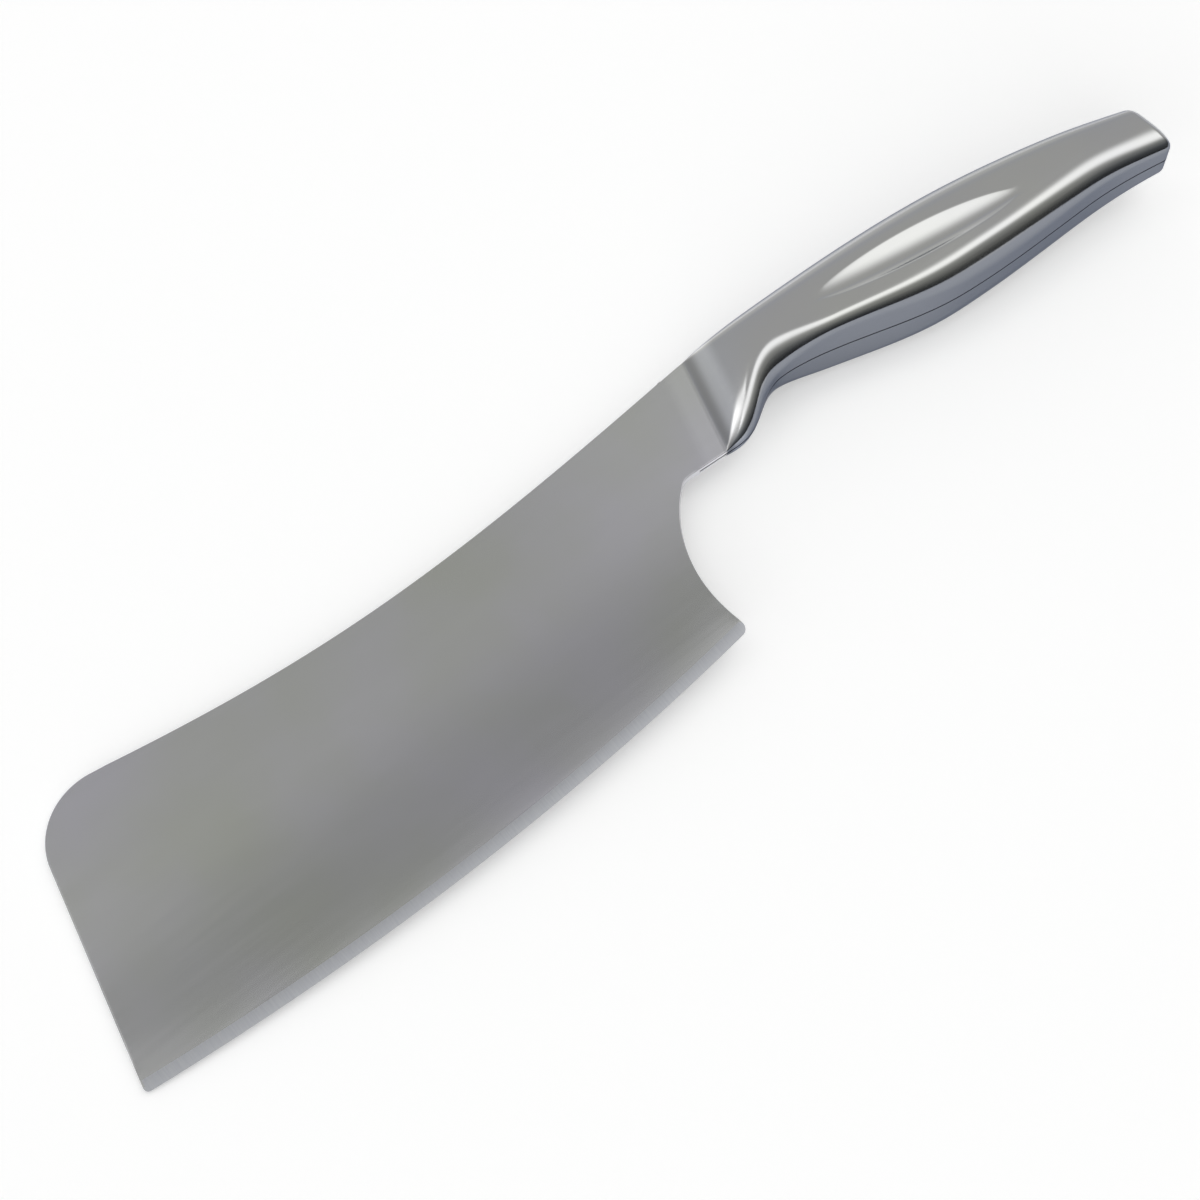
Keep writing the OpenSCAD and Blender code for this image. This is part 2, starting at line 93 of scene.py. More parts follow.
# Room between the tang and the shells, how far past the tang it is kept, and how far the tang
# reaches into the blade's own mesh
TANG_ROOM, TANG_CLEAR, TANG_LAP = 0.05, 3, 2

# Numbers of steps along the lines, the room that a corner's rounding leaves to the next point, and
# how much further than the edge the arcs of the grinds are drawn
SPINE_STEPS, EDGE_STEPS, CHOIL_STEPS, NOSE_STEPS, FRONT_STEPS, CORNER_STEPS = 60, 72, 40, 24, 13, 10
ARC_STEPS, TANG_STEPS, BUTT_STEPS = 240, 6, 12
CORNER_ROOM, ARC_SHARE = 0.2, 1.1


def heading(angle):
    """The direction at an angle in degrees."""
    return np.array([math.cos(math.radians(angle)), math.sin(math.radians(angle))])


def tan(angle):
    """The tangent of an angle in degrees."""
    return math.tan(math.radians(angle))


def through(keys, x):
    """A smooth line through keys of [position, value, slope]."""
    for p, q in zip(keys[:-1], keys[1:]):
        if x <= q[0] or q is keys[-1]:
            width = q[0] - p[0]
            t = (x - p[0]) / width
            return (
                (1 + 2 * t) * (1 - t) ** 2 * p[1]
                + t * (1 - t) ** 2 * width * p[2]
                + t * t * (3 - 2 * t) * q[1]
                - t * t * (1 - t) * width * q[2]
            )


def rounded(corner, u, v, radius, steps=CORNER_STEPS):
    """Points that round a corner between the heading u into it and the heading v out of it."""
    bend = math.atan2(u[0] * v[1] - u[1] * v[0], u[0] * v[0] + u[1] * v[1])
    start = corner - u * radius * math.tan(abs(bend) / 2)
    centre = start + math.copysign(radius, bend) * np.array([-u[1], u[0]])
    arm = start - centre
    points = []
    for i in range(steps + 1):
        a = bend * i / steps
        across = arm[0] * math.cos(a) - arm[1] * math.sin(a)
        along = arm[0] * math.sin(a) + arm[1] * math.cos(a)
        points.append(centre + np.array([across, along]))
    return points


def reach(u, v, radius):
    """How far from a corner its rounding reaches, with a little room for the next point."""
    bend = math.atan2(u[0] * v[1] - u[1] * v[0], u[0] * v[0] + u[1] * v[1])
    return radius * math.tan(abs(bend) / 2) + CORNER_ROOM


def trimmed(points, corner, distance):
    """The points that lie further than a distance from a corner."""
    return [p for p in points if np.linalg.norm(p - corner) > distance]


# Outline of the blade

EDGE_R = ((EDGE_LEN / 2) ** 2 + EDGE_BELLY**2) / (2 * EDGE_BELLY)
EDGE_CENTRE = np.array([EDGE_LEN / 2, EDGE_R - EDGE_BELLY])
EDGE_HALF = math.degrees(math.asin(EDGE_LEN / 2 / EDGE_R))
FRONT = heading(90 - FRONT_LEAN)
TOE, HEEL = np.array([0.0, 0.0]), np.array([EDGE_LEN, 0.0])
NOSE = FRONT * NOSE_H / FRONT[1]
CREASE_LOW = np.array([EDGE_LEN + NECK_BACK, NECK_Y])
CREASE_TOP = CREASE_LOW + NECK_H * np.array([tan(CREASE_LEAN), 1])
SPINE_BACK = np.array([CREASE_TOP[0] - SPINE_PULL_BACK, SPINE_LOW])
SPINE_FRONT = np.array([NOSE[0] + SPINE_PULL_FRONT, SPINE_LOW])
SPINE_RISE = (CREASE_TOP[1] - SPINE_LOW) / SPINE_PULL_BACK
CHOIL_CENTRE = HEEL + np.array([math.sqrt(CHOIL_R**2 - CHOIL_MID**2), CHOIL_MID])
CHOIL_FROM = 180 + math.degrees(math.asin(CHOIL_MID / CHOIL_R))
NECK_SQUARE = heading(90 - NECK_FALL)
CHOIL_TO = 180 - NECK_FALL - math.degrees(math.asin(NECK_SQUARE @ (CREASE_LOW - CHOIL_CENTRE) / CHOIL_R))
CHOIL_END = CHOIL_CENTRE + CHOIL_R * heading(CHOIL_TO)
BLADE_END = -NECK_FLAT - JOINT_W / 2
SHELL_START = -NECK_FLAT + JOINT_W / 2


def neck_low(a):
    """A point of the neck's underside; a is negative in front of the crease."""
    return CREASE_LOW + np.array([a, -a * tan(NECK_FALL)])


def neck_top(a):
    """A point of the neck's top."""
    return CREASE_TOP + np.array([a, a * SPINE_RISE])


def blade_outline():
    """The outline from the underside of the neck round the blade and back to its top."""
    spine = []
    for t in np.linspace(0, 1, SPINE_STEPS + 1):
        weights = [(1 - t) ** 3, 3 * t * (1 - t) ** 2, 3 * t * t * (1 - t), t**3]
        corners = [NOSE, SPINE_FRONT, SPINE_BACK, neck_top(BLADE_END)]
        spine.append(sum(w * c for w, c in zip(weights, corners)))
    nose_in = (spine[0] - spine[1]) / np.linalg.norm(spine[0] - spine[1])
    toe_in, toe_out = -FRONT, heading(-EDGE_HALF)
    heel_in, heel_out = heading(EDGE_HALF), heading(CHOIL_FROM - 90)
    blend_in, blend_out = heading(CHOIL_TO - 90), heading(-NECK_FALL)
    angles = np.linspace(-90 - EDGE_HALF, -90 + EDGE_HALF, EDGE_STEPS + 1)
    edge = [EDGE_CENTRE + EDGE_R * heading(a) for a in angles]
    edge = trimmed(edge, TOE, reach(toe_in, toe_out, TOE_R))
    edge = trimmed(edge, HEEL, reach(heel_in, heel_out, HEEL_R))
    angles = np.linspace(CHOIL_FROM, CHOIL_TO, CHOIL_STEPS + 1)
    choil = [CHOIL_CENTRE + CHOIL_R * heading(a) for a in angles]
    choil = trimmed(choil, HEEL, reach(heel_in, heel_out, HEEL_R))
    choil = trimmed(choil, CHOIL_END, reach(blend_in, blend_out, CHOIL_BLEND_R))
    spine = trimmed(spine, NOSE, reach(nose_in, -FRONT, NOSE_R))
    # The straight front edge gets points too, so that its softened rim stays even
    nose_round = rounded(NOSE, nose_in, -FRONT, NOSE_R, NOSE_STEPS)
    toe_round = rounded(TOE, toe_in, toe_out, TOE_R)
    shares = np.linspace(0, 1, FRONT_STEPS + 1)[1:-1]
    front = [nose_round[-1] + (toe_round[0] - nose_round[-1]) * t for t in shares]
    points = [neck_top(BLADE_END)] + spine[::-1][1:] + nose_round + front + toe_round + edge
    points += rounded(HEEL, heel_in, heel_out, HEEL_R) + choil
    points += rounded(CHOIL_END, blend_in, blend_out, CHOIL_BLEND_R) + [neck_low(BLADE_END)]
    return np.array(points)


# Lines of the handle, at a distance a behind the crease

BACK_KEYS = [
    [0, 0, BACK_SLOPES[0]],
    [PALM_AT, DROP_PALM, BACK_SLOPES[1]],
    [WAIST_AT, DROP_WAIST, BACK_SLOPES[2]],
    [HANDLE_LEN, DROP_BUTT, BACK_SLOPES[3]],
]
CORNER_SLOPE = tan(NECK_FALL) - BACK_SLOPES[0]
HEIGHT_KEYS = [
    [0, NECK_H, CORNER_SLOPE],
    [CORNER_AT, NECK_H + CORNER_AT * CORNER_SLOPE, CORNER_SLOPE],
    [RECESS_AT, RECESS_H, 0],
    [PALM_AT, PALM_H, 0],
    [WAIST_AT, WAIST_H, WAIST_HEIGHT_SLOPE],
    [HANDLE_LEN, BUTT_H, BUTT_HEIGHT_SLOPE],
]
THICK_KEYS = [
    [0, BLADE_T, 2 * tan(FLARE_SLOPE)],
    [RECESS_AT, RECESS_T, RECESS_THICK_SLOPE],
    [PALM_AT, PALM_T, 0],
    [WAIST_AT, WAIST_T, WAIST_THICK_SLOPE],
    [HANDLE_LEN, BUTT_T, BUTT_THICK_SLOPE],
]
# Rounding along the belly: breadth and depth
BELLY_W_KEYS = [
    [0, LEAST_ROUND, BELLY_W_SLOPE],
    [FLARE_ROUND_AT, FLARE_ROUND_W, 0],
    [GRIP_ROUND_AT, GRIP_ROUND_W, 0],
    [PALM_ROUND_AT, PALM_ROUND_W, 0],
    [HANDLE_LEN, BUTT_ROUND_W, 0],
]
BELLY_D_KEYS = [
    [0, LEAST_ROUND, BELLY_D_SLOPE],
    [FLARE_ROUND_AT, FLARE_ROUND_D, 0],
    [GRIP_ROUND_AT, GRIP_ROUND_D, 0],
    [PALM_ROUND_AT, PALM_ROUND_D, 0],
    [HANDLE_LEN, BUTT_ROUND_D, 0],
]
END_RUNS = NECK_H * tan(CREASE_LEAN) - BUTT_H * tan(BUTT_LEAN)
LOW_LEN = HANDLE_LEN + END_RUNS / 2
TOP_LEN = HANDLE_LEN - END_RUNS / 2


def crease_x(y):
    """Where the leaning crease is at a height."""
    return CREASE_LOW[0] + (y - CREASE_LOW[1]) * tan(CREASE_LEAN)


def top_point(a):
    """A point of the handle's back."""
    if a <= 0:
        return neck_top(a)
    return CREASE_TOP + np.array([a * TOP_LEN / HANDLE_LEN, -through(BACK_KEYS, a)])


def low_point(a):
    """A point of the handle's belly."""
    if a <= 0:
        return neck_low(a)
    height = through(HEIGHT_KEYS, a)
    return np.array([CREASE_LOW[0] + a * LOW_LEN / HANDLE_LEN, top_point(a)[1] - height])


def eased(a, line):
    """A point of a line, evened out with its neighbours."""
    slack = min(EASE, HANDLE_LEN - a)
    points = [line(a + slack * k / 2) for k in (-2, -1, 0, 1, 2)]
    return (points[0] + 2 * points[1] + 3 * points[2] + 2 * points[3] + points[4]) / 9


def half_thick(a):
    """Half the thickness, with the crease itself slightly rounded."""
    places = [a + CREASE_SOFT * k for k in (-1, -0.5, 0, 0.5, 1)]
    values = [BLADE_T / 2 if s <= 0 else through(THICK_KEYS, min(s, HANDLE_LEN)) / 2 for s in places]
    return sum(values) / len(values)


def ring_frame(a):
    """Middle, upward direction and half the height of the handle's section."""
    low, top = eased(a, low_point), eased(a, top_point)
    size = np.linalg.norm(top - low)
    return (low + top) / 2, (top - low) / size, size / 2


DIMPLE_MIDDLE = ring_frame(DIMPLE_AT)[0] + DIMPLE_UP * ring_frame(DIMPLE_AT)[1]
DIMPLE_SLOPE = -tan(DIMPLE_TILT)


def dimple_at(ring):
    """The dimple's place across a ring, and its share of full size there."""
    middle, up, _ = ring
    above = DIMPLE_MIDDLE[1] + DIMPLE_SLOPE * (middle[0] - DIMPLE_MIDDLE[0]) - middle[1]
    place = above / (up[1] - DIMPLE_SLOPE * up[0])
    along = middle[0] + place * up[0] - DIMPLE_MIDDLE[0]
    along /= math.cos(math.radians(DIMPLE_TILT)) * DIMPLE_LEN / 2
    share = max(0.0, 1 - along * along)
    beyond = max(0.0, abs(middle[0] - DIMPLE_MIDDLE[0]) - DIMPLE_LEN / 2)
    return place * math.exp(-beyond / DIMPLE_RUN_OUT), share


# Columns of points round half a section: the wall beside the seam, the rounding, the flank beside
# the dimple and the dimple; how far over the rounding the band of painted shade beside the seam
# reaches and fades; and the least gap between two columns
WALL_COLS, ROUND_COLS, FLANK_COLS, DIMPLE_COLS = 5, 22, 7, 22
SHADE_BAND_COLS, SHADE_BAND_FADE = 8, 5
COLUMN_GAP = 0.01
LAST_COL = 2 * (WALL_COLS + ROUND_COLS + FLANK_COLS) + DIMPLE_COLS


def edge_points(half, thick, rw, rd, fall):
    """Points from the seam up the wall and over the rounded edge, for one side of a section."""
    points = []
    gap = 2 * COLUMN_GAP
    for k in range(WALL_COLS + 1):
        rise = max(0.0, thick - rd - fall - SEAM_W / 2) * k / WALL_COLS
        points.append((-half + gap * k / WALL_COLS, SEAM_W / 2 + rise))
    for k in range(1, ROUND_COLS + 1):
        angle = math.radians(90 * k / ROUND_COLS)
        v = -half + gap + rw * (1 - max(math.cos(angle), 0.0) ** (2 / ROUND_POWER))
        z = thick - rd + rd * math.sin(angle) ** (2 / ROUND_POWER)
        points.append((v, z - fall * (v / half) ** 2))
    return points


def dimple_dip(t):
    """How deep the dimple is between its rims, as a share of its depth."""
    reach_to_rim = 1 - DIMPLE_DEEPEST if t > DIMPLE_DEEPEST else 1 + DIMPLE_DEEPEST
    return max(0.0, 1 - ((t - DIMPLE_DEEPEST) / reach_to_rim) ** 2) ** DIMPLE_RIM


def section(a, inset, ring, floor_z):
    """Points (across, height) of one ring, from the belly seam over the side to the back seam."""
    thick = max(half_thick(a) - inset, SEAM_W / 2)
    half = ring[2] - inset
    body = max(0.0, (half_thick(a) - BLADE_T / 2) / (PALM_T / 2 - BLADE_T / 2))
    fall = CROWN * body
    back_w = max(LEAST_ROUND + (ROUND_W - LEAST_ROUND) * body - inset, LEAST_ROUND)
    back_d = min(max(LEAST_ROUND + (ROUND_D - LEAST_ROUND) * body - inset, LEAST_ROUND), thick)
    belly_w = max(through(BELLY_W_KEYS, max(a, 0)) - inset, LEAST_ROUND)
    deepest = max(thick - fall - SEAM_W / 2, LEAST_ROUND)
    belly_d = min(max(through(BELLY_D_KEYS, max(a, 0)) - inset, LEAST_ROUND), deepest)
    place, share = dimple_at(ring)
    band = max(DIMPLE_BAND, DIMPLE_W / 2 * share**DIMPLE_FULLNESS)
    low_flank, top_flank = half - belly_w - 2 * COLUMN_GAP, half - back_w - 2 * COLUMN_GAP
    place = max(place, -low_flank + band + LEAST_ROUND)
    across = [-low_flank + (place - band + low_flank) * k / FLANK_COLS for k in range(1, FLANK_COLS)]
    across += [place + band * (2 * k / DIMPLE_COLS - 1) for k in range(DIMPLE_COLS + 1)]
    steps = range(FLANK_COLS - 1, 0, -1)
    across += [top_flank + (place + band - top_flank) * k / FLANK_COLS for k in steps]
    top = []
    for v in across:
        dip = DIMPLE_D * share * dimple_dip((v - place) / band)
        top.append((v, thick - fall * (v / half) ** 2 - dip))
    belly = edge_points(half, thick, belly_w, belly_d, fall)
    back = edge_points(half, thick, back_w, back_d, fall)
    points = belly + top + [(-v, z) for v, z in reversed(back)]
    return [(v, max(z, floor_z)) for v, z in points]


# Rings of the handle: how near the crease they are dense, and how many there are along the neck,
# over the crease, along the flare and along the grip
CREASE_NEAR, RING_COUNTS = 0.8, (6, 6, 26, 56)


def handle_rings():
    """Distances along the handle: (outside, inside, how far the ring is drawn in)."""
    ends = [SHELL_START, -CREASE_NEAR, CREASE_NEAR, RECESS_AT, HANDLE_LEN - BUTT_R]
    rings = []
    for start, end, count in zip(ends[:-1], ends[1:], RING_COUNTS):
        rings += [(a, a, 0.0) for a in np.linspace(start, end, count, endpoint=False)]
    for k in range(BUTT_STEPS + 1):
        angle = math.radians(90 * k / BUTT_STEPS)
        a = ends[-1] + BUTT_R * math.sin(angle)
        rings.append((a, a - SHEET_T * math.sin(angle), BUTT_R * (1 - math.cos(angle))))
    return rings


def seam_wall_painted_shade():
    """How far each point of a ring belongs to the band of painted shade along both seams, 0 to 1."""
    last = WALL_COLS + SHADE_BAND_COLS + SHADE_BAND_FADE
    side = [min(1.0, (last - k) / SHADE_BAND_FADE) for k in range(last)]
    return side + [0.0] * (LAST_COL + 1 - 2 * last) + side[::-1]


def shell_mesh():
    """Points and faces of one half of the hollow handle, a closed sheet with its rims."""
    rings = handle_rings()
    outer, inner = [], []
    for a, a_in, inset in rings:
        ring = ring_frame(a)
        outer += [(*(ring[0] + v * ring[1]), z) for v, z in section(a, inset, ring, 0)]
        ring = ring_frame(a_in)
        drawn = SHEET_T + (BUTT_R - SHEET_T) * inset / BUTT_R
        near_tang = a_in < TANG_LEN - NECK_FLAT + TANG_CLEAR
        floor_z = TANG_T / 2 + TANG_ROOM if near_tang else SEAM_W / 2
        inner += [(*(ring[0] + v * ring[1]), z) for v, z in section(a_in, drawn, ring, floor_z)]
    wide = LAST_COL + 1
    base = len(rings) * wide
    faces = []
    for i in range(len(rings) - 1):
        for j in range(LAST_COL):
            p = i * wide + j
            faces.append((p, p + 1, p + wide + 1, p + wide))
            faces.append((base + p, base + p + wide, base + p + wide + 1, base + p + 1))
        # The rims along the belly and the back, between the outside and the inside
        p, q = i * wide, i * wide + LAST_COL
        faces.append((p, p + wide, base + p + wide, base + p))
        faces.append((q, base + q, base + q + wide, q + wide))
    # The rim at the neck
    for j in range(LAST_COL):
        faces.append((j, base + j, base + j + 1, j + 1))
    # The butt closes outside and inside, with bands from the belly to the back
    last = base - wide
    for side, order in ((last, 1), (base + last, -1)):
        for j in range(wide // 2 - 1 + wide % 2):
            f = (side + j, side + j + 1, side + LAST_COL - 1 - j, side + LAST_COL - j)
            faces.append(f[::order] if f[1] != f[2] else (f[0], f[1], f[3])[::order])
    faces.append((last, last + LAST_COL, base + last + LAST_COL, base + last))
    return np.array(outer + inner), faces


# Blade as a mesh: rims that follow the outline, and a triangulated side between the grinds

# Limits under which two lines count as parallel and two points as one
PARALLEL, SAME_POINT = 1e-12, 1e-6


def ground_height(points):
    """Half the thickness of the steel left by the long grind and the bevel."""
    inside = EDGE_R - np.hypot(points[:, 0] - EDGE_CENTRE[0], points[:, 1] - EDGE_CENTRE[1])
    bevel = EDGE_T / 2 + inside * (SHOULDER_T - EDGE_T) / 2 / BEVEL_W
    long_grind = SHOULDER_T / 2 + (inside - BEVEL_W) * (BLADE_T - SHOULDER_T) / 2 / (GRIND_W - BEVEL_W)
    return np.clip(np.where(inside < BEVEL_W, bevel, long_grind), EDGE_T / 2, BLADE_T / 2)


def offset(outline, distance):
    """The open outline moved inwards, with both ends sliding along the neck's end face."""
    steps = np.diff(outline, axis=0)
    normals = np.stack([-steps[:, 1], steps[:, 0]], 1) / np.linalg.norm(steps, axis=1)[:, None]
    at = np.zeros_like(outline)
    at[1:-1] = normals[:-1] + normals[1:]
    at[1:-1] /= ((at[1:-1] ** 2).sum(1) / 2)[:, None]
    end_line = outline[0] - outline[-1]
    end_line /= np.linalg.norm(end_line)
    at[0] = end_line / (end_line @ normals[0])
    at[-1] = end_line / (end_line @ normals[-1])
    return outline + at * distance


def arc_across(radius, loop):
    """Points where a grind's arc crosses the blade, from its first to its last inside point."""
    inside = []
    swing = EDGE_HALF * ARC_SHARE
    for angle in np.linspace(-90 - swing, -90 + swing, ARC_STEPS + 1):
        p = EDGE_CENTRE + radius * heading(angle)
        if within(p, loop):
            inside.append(p)
    return inside


def within(p, loop):
    """Whether a point lies inside a loop."""
    x, y = p
    a, b = loop, np.roll(loop, -1, axis=0)
    crosses = (a[:, 1] > y) != (b[:, 1] > y)
    with np.errstate(divide="ignore", invalid="ignore"):
        at = (b[:, 0] - a[:, 0]) * (y - a[:, 1]) / (b[:, 1] - a[:, 1]) + a[:, 0]
    return bool((crosses & (x < at)).sum() % 2)


def blade_mesh():
    """Points and faces of the blade without its tang."""
    outline = blade_outline()
    count = len(outline)
    # The rim is rounded in steps of 30 degrees and then runs in level
    insets = [EDGE_SOFT * (1 - math.cos(math.radians(a))) for a in (0, 30, 60, 90)]
    insets += [EDGE_SOFT * RIM_SHARE]
    loops = [offset(outline, d) for d in insets]
    heights = []
    for d, loop in zip(insets, loops):
        fall = EDGE_SOFT - math.sqrt(max(EDGE_SOFT**2 - max(EDGE_SOFT - d, 0) ** 2, 0))
        heights.append(np.minimum(ground_height(loop), BLADE_T / 2 - fall))
    top = [np.c_[loop, h] for loop, h in zip(loops, heights)]
    # The side between the rims, with the grinds' edge lines as its own edges
    ring = loops[-1]
    arcs = [arc_across(EDGE_R - w, ring) for w in (BEVEL_W, GRIND_W)]
    flat = list(ring)
    edges = [(i, (i + 1) % count) for i in range(count)]
    for arc in arcs:
        first = cross_point(arc[0], arc[0] - arc[1], ring)
        last = cross_point(arc[-1], arc[-1] - arc[-2], ring)
        start = len(flat)
        flat += [first] + arc + [last]
        edges += [(i, i + 1) for i in range(start, len(flat) - 1)]
    spots, _, tris, sources, _, _ = delaunay_2d_cdt([Vector(p) for p in flat], edges, [], 1, SAME_POINT)
    spots = np.array([[*p] for p in spots])
    side = np.c_[spots, ground_height(spots)]
    rim_of = {}
    for i, source in enumerate(sources):
        for s in source:
            if s < count:
                rim_of[s] = i
    points, faces = [], []
    for sign in (1, -1):
        base = len(points)
        for t in top[:-1]:
            points += [(x, y, sign * z) for x, y, z in t]
        first_side = len(points)
        points += [(x, y, sign * z) for x, y, z in side]
        ids = [[base + k * count + i for i in range(count)] for k in range(len(top) - 1)]
        ids.append([first_side + rim_of[i] for i in range(count)])
        for a, b in zip(ids[:-1], ids[1:]):
            for i in range(count - 1):
                faces.append((a[i], a[i + 1], b[i + 1], b[i])[::sign])
        faces += [tuple(first_side + i for i in t)[::sign] for t in tris]
        if sign == 1:
            upper = ids
    for i in range(count - 1):
        faces.append((upper[0][i], ids[0][i], ids[0][i + 1], upper[0][i + 1]))
    # The end face at the neck closes between the two sides
    end = [u[0] for u in upper] + [u[-1] for u in reversed(upper)]
    end += [i[-1] for i in ids] + [i[0] for i in reversed(ids)]
    faces.append(tuple(end))
    return np.array(points), faces


def cross_point(p, way, loop):
    """Where a line from p first meets the loop."""
    best, spot = None, p
    for a, b in zip(loop, np.roll(loop, -1, axis=0)):
        side = b - a
        cross = way[0] * side[1] - way[1] * side[0]
        if abs(cross) < PARALLEL:
            continue
        t = ((a[0] - p[0]) * side[1] - (a[1] - p[1]) * side[0]) / cross
        s = ((a[0] - p[0]) * way[1] - (a[1] - p[1]) * way[0]) / cross
        if t > 0 and 0 <= s <= 1 and (best is None or t < best):
            best, spot = t, p + way * t
    return spot


def tang_mesh():
    """The thin tongue that reaches from the blade into the handle."""
    low = NECK_Y + TANG_Y - TANG_H / 2
    start = neck_low(BLADE_END)[0]
    r = TANG_H / 4
    bend = start + TANG_LEN - r
    outline = [(start - TANG_LAP, low), (bend, low)]
    turns = [k * math.pi / 2 / TANG_STEPS for k in range(TANG_STEPS + 1)]
    outline += [(bend + r * math.sin(t), low + r - r * math.cos(t)) for t in turns[1:]]
    outline += [(bend + r * math.cos(t), low + TANG_H - r + r * math.sin(t)) for t in turns]
    outline.append((start - TANG_LAP, low + TANG_H))
    n = len(outline)
    points = [(x, y, TANG_T / 2) for x, y in outline] + [(x, y, -TANG_T / 2) for x, y in outline]
    faces = [tuple(range(n)), tuple(range(2 * n - 1, n - 1, -1))]
    faces += [(i, n + i, n + (i + 1) % n, (i + 1) % n) for i in range(n)]
    return np.array(points), faces


# Laying the knife where the CAD part lies

FRONT_SQUARE = heading(-FRONT_LEAN)


def front_distance(points):
    """How far points lie behind the straight front edge."""
    return points[:, 0] * FRONT_SQUARE[0] + points[:, 1] * FRONT_SQUARE[1]


def laid(points, tilt):
    """Turned about the front edge so that the handle's side touches the surface too."""
    t = math.radians(tilt)
    d = front_distance(points)
    run = d * math.cos(t) - points[:, 2] * math.sin(t)
    flat = points[:, :2] + (run - d)[:, None] * FRONT_SQUARE
    z = points[:, 2] * math.cos(t) + d * math.sin(t) + BLADE_T / 2 * math.cos(t)
    return np.c_[flat, z]


shell_points, shell_faces = shell_mesh()
right_points = shell_points * [1, 1, -1]
blade_points, blade_faces = blade_mesh()
tang_points, tang_faces = tang_mesh()
TILT = math.degrees(np.arctan2(shell_points[:, 2] - BLADE_T / 2, front_distance(shell_points)).max())
whole = laid(np.concatenate([blade_points, shell_points, right_points]), TILT)
MIDDLE = (whole.min(0) + whole.max(0))[:2] / 2


def placed(points):
    """Points of the knife where they lie in the row's frame, in metres."""
    return (laid(points, TILT) - [*MIDDLE, 0]) / 1000


# Angles in degrees above which an edge of a piece stays sharp
SHELL_SHARP, BLADE_SHARP = 50, 35


def add_piece(name, points, faces, sharp_angle):
    """One piece of the knife, smooth up to its sharp edges."""
    mesh = bpy.data.meshes.new(name)
    mesh.from_pydata([tuple(p) for p in placed(points)], [], faces)
    mesh.validate()
    for face in mesh.polygons:
        face.use_smooth = True
    mesh.set_sharp_from_angle(angle=math.radians(sharp_angle))
    piece = bpy.data.objects.new(name, mesh)
    bpy.context.scene.collection.objects.link(piece)
    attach(piece, "root")
    return piece


left_faces = [face[::-1] for face in shell_faces]
left = add_piece("left_shell_surface", shell_points, left_faces, SHELL_SHARP)
right = add_piece("right_shell_surface", right_points, shell_faces, SHELL_SHARP)
all_points = np.concatenate([blade_points, tang_points])
all_faces = blade_faces + [tuple(len(blade_points) + i for i in face) for face in tang_faces]
blade = add_piece("blade_surface", all_points, all_faces, BLADE_SHARP)
ring_count = len(shell_points) // (LAST_COL + 1)
for piece in (left, right):
    # The band beside the seams, over the walls and part of the rounding, is painted shade in the
    # handle's colour
    band = piece.data.attributes.new("seam_wall_painted_shade", "FLOAT", "POINT")
    band.data.foreach_set("value", seam_wall_painted_shade() * ring_count)
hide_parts("left_handle_shell")
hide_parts("right_handle_shell")
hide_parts("blade")


# Materials

# Tones of the steels: each goes softly between two, and the band along the seams has its own darker
# tone, which is painted shade
BLADE_TONES = (0.625, 0.620, 0.670, 1), (0.570, 0.585, 0.540, 1)
HANDLE_TONES = (0.61, 0.61, 0.625, 1), (0.63, 0.635, 0.615, 1)
WALL_PAINTED_SHADE = (0.270, 0.285, 0.320, 1)
WELD_TONES = (0.20, 0.20, 0.21, 1), (0.30, 0.30, 0.31, 1)
BEVEL_TONES = (0.405, 0.415, 0.445, 1), (0.450, 0.460, 0.480, 1)
# The polished handle mirrors less where it is seen at a low angle
GRAZING_TINT = (0.41, 0.43, 0.49, 1)

# Roughness, over fine lines between two values where there are two
BLADE_ROUGH, HANDLE_ROUGH, WELD_ROUGH, BEVEL_ROUGH = (0.20, 0.24), (0.13, 0.17), 0.45, 0.3
# Strength of the weld's grain, and its depth in metres
WELD_BUMP = 0.3, 0.00005

# Noise: scale, how it is drawn out along x, y and z, detail, and its turn in degrees; and the
# part of its range that is spread from low to high
BLADE_MOTTLE, HANDLE_MOTTLE = (22, (1, 1, 1), 3), (30, (1, 1, 1), 3)
SATIN_LINES, POLISH_LINES = (900, (0.04, 1, 1), 3, 12), (700, (0.03, 1, 1), 2, 12)
WELD_GRAIN, BEVEL_LINES = (1500, (1, 1, 1), 4), (5000, (1, 0.05, 0.05), 3, 4)
NOISE_FROM, NOISE_TO = 0.3, 0.7

# Painted light along the blade, lighter towards the neck, and painted shade across it, darker towards
# the edge: from and to this place in metres, with its share of the tone at both
NECK_PAINTED_LIGHT = (-0.04, 0.022, 1.0, 1.13)
EDGE_PAINTED_SHADE = (-0.020, 0.012, 0.75, 1.0)

# Painted shade and painted highlights across the crease, in steps of tone: from and to this
# distance behind it in metres, with their share of the tone at both
CREASE_PLACE = placed(np.array([[*CREASE_LOW, BLADE_T / 2]]))[0]
CREASE_PAINTED_SHADING_STEPS = [
    (-0.0070, -0.0030, 1.0, 1.12),
    (-0.0010, 0.0002, 1.0, 0.72),
    (0.0006, 0.0032, 1.0, 1.70),
    (0.0036, 0.0070, 1.0, 0.73),
]


def new_material(name):
    """A bare metal with its node tree and its shader."""
    material = bpy.data.materials.new(name)
    material.use_nodes = True
    tree = material.node_tree
    shader = tree.nodes["Principled BSDF"]
    shader.inputs["Metallic"].default_value = 1.0
    return material, tree, shader


def link(tree, a, b):
    """Joins an output to an input."""
    tree.links.new(a, b)


